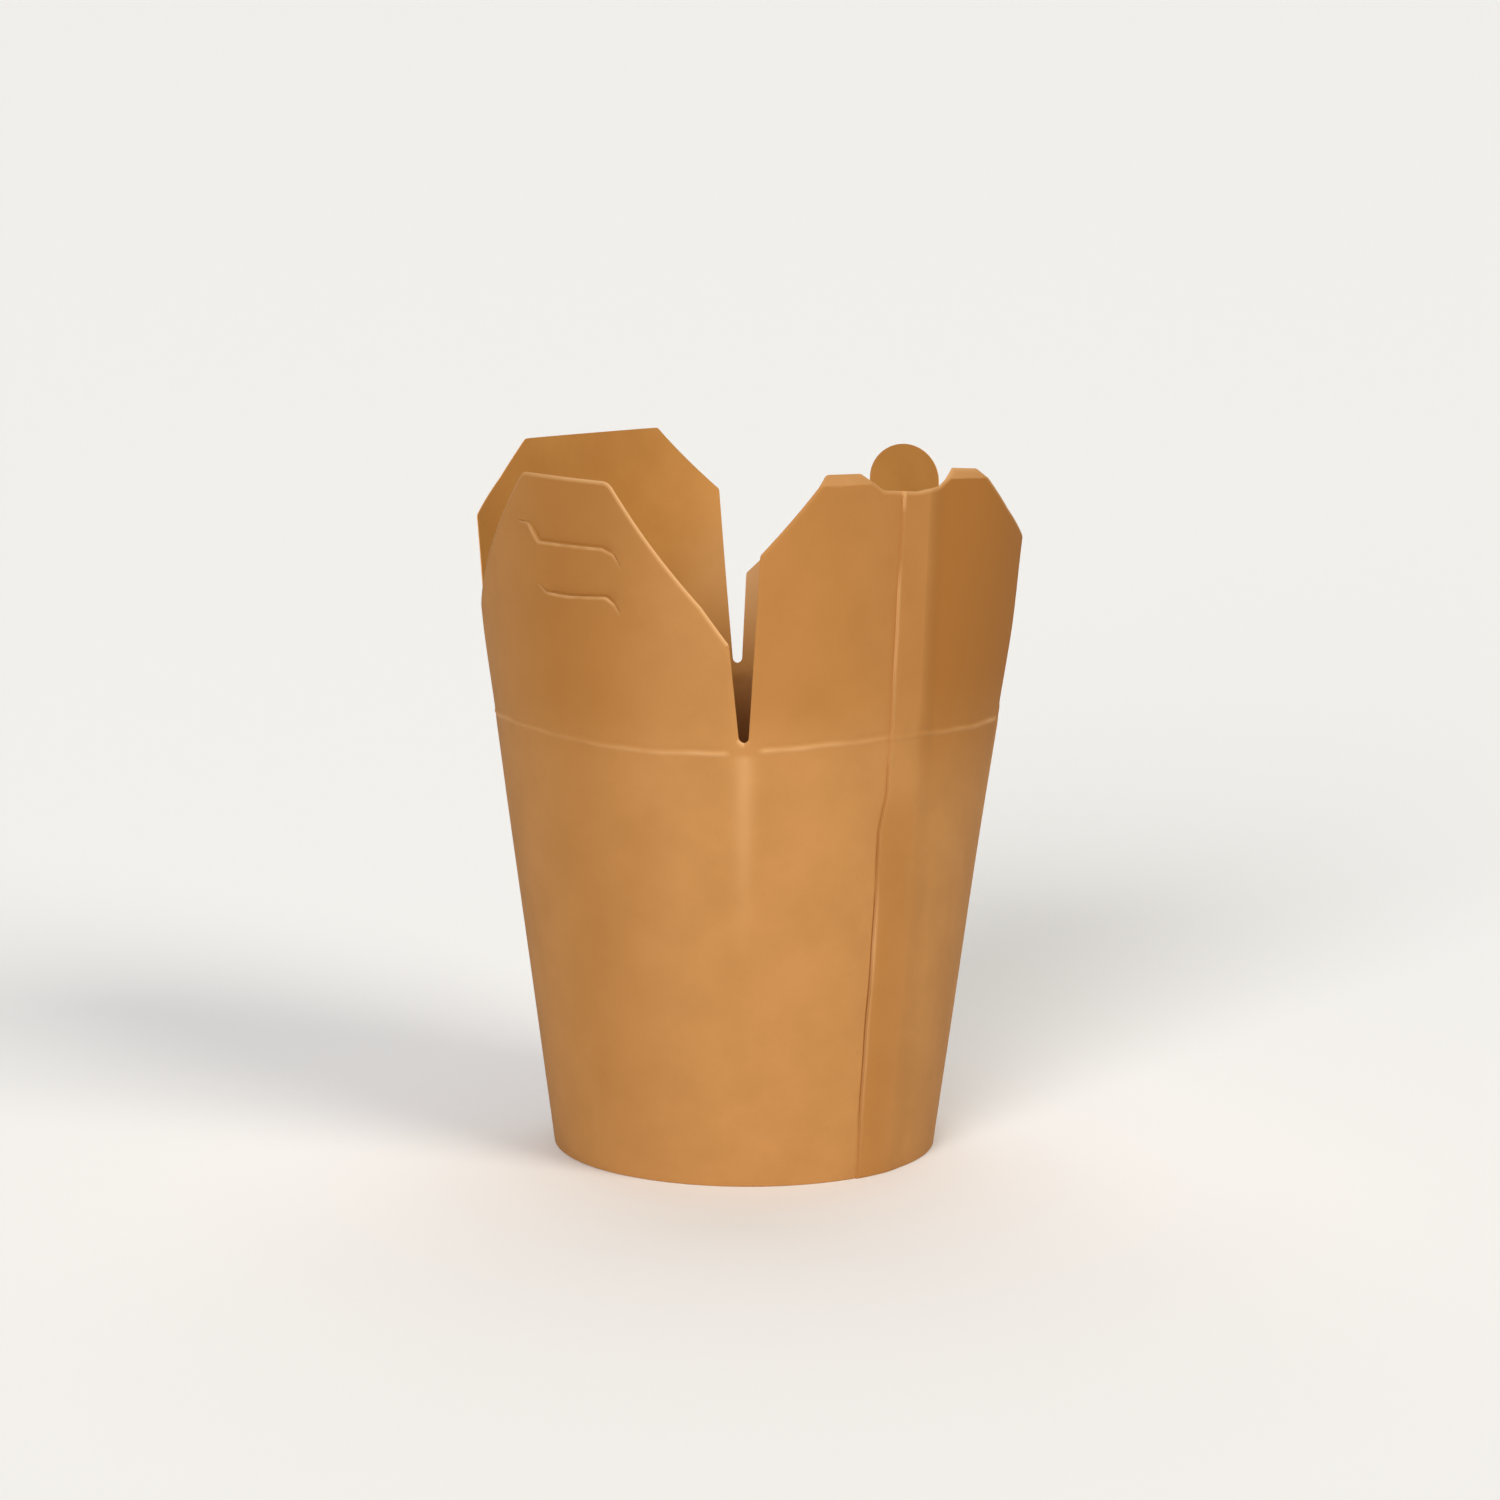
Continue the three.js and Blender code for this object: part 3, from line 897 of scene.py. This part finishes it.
# Points inside a flap's outline: a grid, which follows the wall's columns at the seam, and rows
# along the cut edge, the bend of the tips and the slits.
def pointsInside(name, loop, cutEdge, slits):
    grid, reach = flapLook["gridStep"], flapLook["gridReach"]
    across = np.arange(-reach, reach, grid)
    if name == "right":
        columns = columnsOver(name)
        nearLap = (across > seam["offset"] - 1) & (across < lapEnd + 1.2)
        onLap = (columns > seam["offset"] - 0.9) & (columns < lapEnd + 1)
        across = np.concatenate([across[~nearLap], columns[onLap]])
    step, top = flapLook["creaseStep"], flapLook["creaseTop"]
    low = np.arange(cone["joinLevel"] + 2 * step, top, step)
    high = np.arange(top + step, flapLook["gridTop"], grid)
    x, s = np.meshgrid(across, np.concatenate([low, high]))
    inner = np.stack([x.ravel(), s.ravel()], 1)
    closed = np.vstack([loop, loop[:1]])
    inner = inner[insideLoop(inner, loop)]
    inner = inner[distanceTo(inner, closed)[0] > flapLook["clear"] * grid]
    inner = inner[distanceTo(inner, cutEdge)[0] > flapLook["crushWidth"] + 0.2]
    rows = [inner]
    for inset in flapLook["edgeRows"]:  # without the points that bunch up inside a bend
        moved = cutEdge + leftOf(cutEdge) * inset
        kept = insideLoop(moved, loop) & (distanceTo(moved, closed)[0] > inset * 0.93)
        rows.append(moved[kept])
    if name == "right":
        along = np.arange(*tips["span"], flapLook["edgeStep"])
        for above in tips["rows"]:
            bend = np.stack([along, bendLine(along) + above], 1)
            rows.append(bend[insideLoop(bend, loop)])
    inner = np.vstack(rows)
    for path, _ in slits:
        inner = inner[distanceTo(inner, path)[0] > slitLook["clear"]]
        for inset in slitLook["rows"]:
            moved = path + leftOf(path) * inset
            kept = distanceTo(moved, path)[0] > abs(inset) * 0.9
            inner = np.vstack([inner, moved[kept]])
    return inner


# Cuts a flap out of the flat sheet: triangles over the outline, with the slits left out.
def cutOut(name):
    join = cone["joinLevel"]
    foot = [(x, join) for x in columnsOver(name)]
    levels = np.linspace(join, scores["slitBottom"], 12)[1:-1]
    up = [(halfWidth(name, s), s) for s in levels]
    down = [(-x, s) for x, s in reversed(up)]
    cutEdge = cutPath(name)
    loop = np.array([*foot, *up, *cutEdge, *down])
    slits = [slitLoop(line) for line in slitLines.values()] if name == "front" else []
    points, edges = loop, []
    for _, hole in slits:
        first, count = len(points), len(hole)
        edges += [(first + k, first + (k + 1) % count) for k in range(count)]
        points = np.vstack([points, hole])
    points = np.vstack([points, pointsInside(name, loop, cutEdge, slits)])
    border = list(range(len(loop)))
    found = delaunay_2d_cdt([Vector(p) for p in points], edges, [border], 1, 1e-5, False)
    flat = np.array([tuple(v) for v in found[0]])
    triangles = np.array([t for t in found[2] if len(t) == 3])
    middles = flat[triangles].mean(1)
    keep = insideLoop(middles, loop)
    for _, hole in slits:
        keep &= ~insideLoop(middles, hole)
    triangles = triangles[keep]
    used = np.unique(triangles)
    number = np.full(len(flat), -1)
    number[used] = np.arange(len(used))
    return flat[used], number[triangles], cutEdge, [path for path, _ in slits]


# Painted highlight on the cut edge beside each point: only where the edge faces up, into the
# light from above.
def edgeHighlight(name, x, at, cutEdge):
    left, right = panels[name]["bareEdge"]
    facesUp = rising(-leftOf(cutEdge)[:, 1], *flapLook["facesUp"])
    bare = left + (right - left) * rising(x, *flapLook["bareAcross"])
    return bare * np.interp(at, sharesAlong(cutEdge), facesUp)


# The slits' lips: how far each point is lifted, how much painted highlight its lower rim gets and
# how much painted shadow lies above the slit.
def besideSlits(flat, slits):
    x, s = flat.T
    lift, bare, shade = np.zeros((3, len(flat)))
    patchy = 0.75 + 0.25 * np.sin(x / 1.3) * np.sin(x / 3.1 + s)
    for path in slits:
        away, side, at = distanceTo(flat, path)
        ends = smooth(np.minimum(at, 1 - at) * slitLook["lipEnds"])
        rim = np.clip(1 - away / slitLook["rimWidth"], 0, 1) * (side < 0) * ends
        lift -= side * slitLook["lip"] * ends * bell(away, 0, slitLook["reach"])
        lift -= slitLook["rim"] * rim**2
        bare = np.maximum(bare, slitLook["rimHighlight"] * rim**0.5 * patchy)
        above = bell(away, 0, slitLook["shadeWidth"]) * (side > 0) * ends
        shade = np.maximum(shade, slitLook["shade"] * above)
    return lift, bare, shade


# The board's faces from flat triangles: outside, inside and round the cuts, and their slots.
def boardFaces(flat, triangles):
    corners, count = flat[triangles], len(flat)
    turn = np.cross(corners[:, 1] - corners[:, 0], corners[:, 2] - corners[:, 0])
    outward = np.where(turn[:, None] < 0, triangles[:, ::-1], triangles)
    inward = outward[:, ::-1] + count
    sides = np.concatenate([outward[:, [0, 1]], outward[:, [1, 2]], outward[:, [2, 0]]]).tolist()
    seen = {tuple(side) for side in sides}
    edges = [(a, a + count, b + count, b) for a, b in sides if (b, a) not in seen]
    index = [0] * len(outward) + [1] * len(inward) + [2] * len(edges)
    return outward.tolist() + inward.tolist() + edges, np.array(index, np.int32)


def makeFlap(name):
    flat, triangles, cutEdge, slits = cutOut(name)
    x, s = flat.T
    toCut, _, at = distanceTo(flat, cutEdge)
    crushed = np.clip(1 - toCut / flapLook["crushWidth"], 0, 1)
    lift, slitHighlight, shade = besideSlits(flat, slits)
    if name == "right":
        aboveLine = np.clip(s - bendLine(x), 0, None)
        lift -= math.tan(math.radians(tips["bend"])) * aboveLine
    outer = boardPoints(name, x, s, flapLook["crush"] * crushed**2 - lift, "outer")
    inner = boardPoints(name, x, s, cone["board"] - lift, "inner")
    # painted highlight on the cut edges, with the pale wear and painted highlight of the outer
    # face
    bare = np.maximum(edgeHighlight(name, x, at, cutEdge) * crushed, wearAndHighlightAt(name, x, s))
    bare = np.maximum(bare, slitHighlight)
    outerTone = np.maximum(paintedShadeAt(name, x, s, "outer"), shade)
    # outside the pale wear and painted highlight, inside the painted pool of light near the back
    # corner
    looks = {
        "bareFibre": np.concatenate([bare, paintedLightInside(name, x, s)]),
        "deepTone": np.concatenate([outerTone, paintedShadeAt(name, x, s, "inner")]),
    }
    faces, index = boardFaces(flat, triangles)
    slots = {"materials": [kraft, coated, cut], "index": index}
    uvs = np.vstack([blankPoints(name, x, s)] * 2)
    points = np.vstack([outer, inner])
    return newPiece(f"flap_{name}_board", points, faces, uvs, slots, **looks)


for side in panels:
    flap = makeFlap(side)
    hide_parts(f"flap_{side}")
    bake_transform(flap)
    print(side, "flap made,", len(flap.data.polygons), "faces")

# The floor, the lights and the camera.
studio = {"floorColour": "#faf9f8", "floorRoughness": 0.9, "floorReach": 60, "ambient": 0.02}
floorMaterial = bpy.data.materials.new("pale floor paint")
floorMaterial.use_nodes = True
floorShader = floorMaterial.node_tree.nodes["Principled BSDF"]
floorShader.inputs["Base Color"].default_value = linearColour(studio["floorColour"])
floorShader.inputs["Roughness"].default_value = studio["floorRoughness"]
floorMesh = bpy.data.meshes.new("floor")
reach = studio["floorReach"]
floorCorners = [(-reach, -reach, 0), (reach, -reach, 0), (reach, reach, 0), (-reach, reach, 0)]
floorMesh.from_pydata(floorCorners, [], [(0, 1, 2, 3)])
floorMesh.materials.append(floorMaterial)
floor = bpy.data.objects.new("floor", floorMesh)
bpy.context.scene.collection.objects.link(floor)

# Large soft sources, so far off that the floor is lit evenly. azimuth is where the light comes
# from, as for the panels' corners, and size is how wide it looks.
lights = {
    "left": {"azimuth": 28, "elevation": 20, "strength": 2.65, "size": 30, "colour": "#ffffff"},
    "right": {"azimuth": 96, "elevation": 31, "strength": 1.6, "size": 30, "colour": "#fffaec"},
    "top": {"azimuth": 45, "elevation": 88, "strength": 0.45, "size": 40, "colour": "#ffffff"},
    "back": {"azimuth": 225, "elevation": 50, "strength": 0.95, "size": 60, "colour": "#ffffff"},
}
for name, light in lights.items():
    lamp = bpy.data.lights.new(name, "SUN")
    lamp.energy = light["strength"]
    lamp.angle = math.radians(light["size"])
    lamp.color = linearColour(light["colour"])[:3]
    source = bpy.data.objects.new(name, lamp)
    turn, rise = math.radians(light["azimuth"]), math.radians(light["elevation"])
    across = math.cos(rise)
    fromThere = Vector((math.sin(turn) * across, -math.cos(turn) * across, math.sin(rise)))
    source.rotation_euler = fromThere.to_track_quat("Z", "Y").to_euler()
    bpy.context.scene.collection.objects.link(source)
world = bpy.data.worlds.new("studio")
world.use_nodes = True
background = world.node_tree.nodes["Background"]
background.inputs["Color"].default_value = (1, 1, 1, 1)
background.inputs["Strength"].default_value = studio["ambient"]
bpy.context.scene.world = world
bpy.context.scene.view_settings.view_transform = "Standard"

# The camera stands at its own azimuth; place and angles are seen along that direction.
view = {
    "azimuth": 45.6,
    "place": (-2.025, -1060.73, 272.31),
    "pitch": 9.7623,
    "yaw": 0.1517,
    "roll": 0.3857,
    "lens": 114.854,
}
pitch, yaw, roll = (math.radians(view[k]) for k in ("pitch", "yaw", "roll"))
across = math.cos(pitch)
ahead = Vector((math.sin(yaw) * across, math.cos(yaw) * across, -math.sin(pitch)))
level = Vector((math.cos(yaw), -math.sin(yaw), 0))
up = level.cross(ahead)
right = math.cos(roll) * level + math.sin(roll) * up
upright = math.cos(roll) * up - math.sin(roll) * level
cameraData = bpy.data.cameras.new("camera")
cameraData.lens = view["lens"]
cameraData.sensor_width = 36
camera = bpy.data.objects.new("camera", cameraData)
turned = Matrix((right, upright, -ahead)).transposed().to_4x4()
turned.translation = Vector(view["place"]) * mm
camera.matrix_world = Matrix.Rotation(math.radians(view["azimuth"]), 4, "Z") @ turned
bpy.context.scene.collection.objects.link(camera)
bpy.context.scene.camera = camera
print("stage, lights and camera made")
